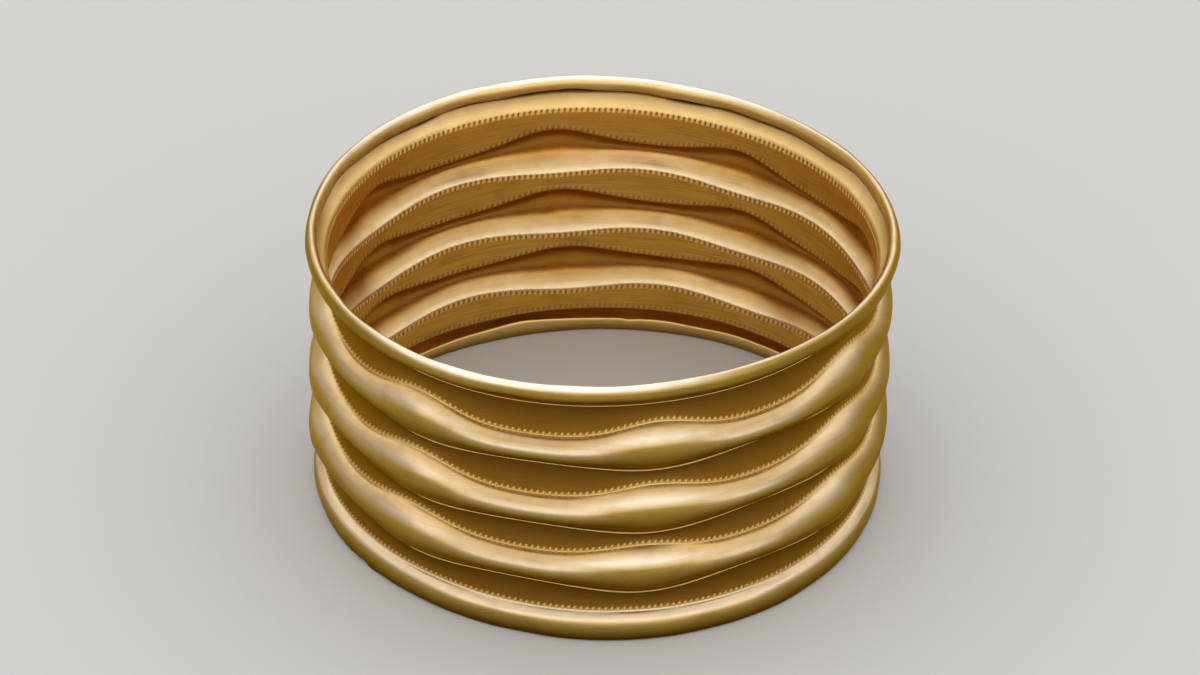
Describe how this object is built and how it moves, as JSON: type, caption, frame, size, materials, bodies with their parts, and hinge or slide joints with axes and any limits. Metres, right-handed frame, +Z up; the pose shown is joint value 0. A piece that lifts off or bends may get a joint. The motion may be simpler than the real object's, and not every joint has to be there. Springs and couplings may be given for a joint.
{
  "type": "gold armlet",
  "caption": "Sheet-gold armlet, a slightly oval open ring with rolled rims and raised ribs that swell into long bosses between smooth flutes.",
  "frame": {"origin": "centre of the bounding box's underside, on the plane that the foot stands on", "axes": "+Z up the ring's own axis from the foot to the rim, -Y towards the side that faces the camera in the picture, +X to its right"},
  "size_m": [0.0842, 0.0838, 0.043],
  "materials": {
    "gold": "gold: polished ribs and rims, satin brushed flutes, rows of fine punched dots along their borders"
  },
  "bodies": {
    "root": {"armlet": "gold"}
  },
  "joints": []
}
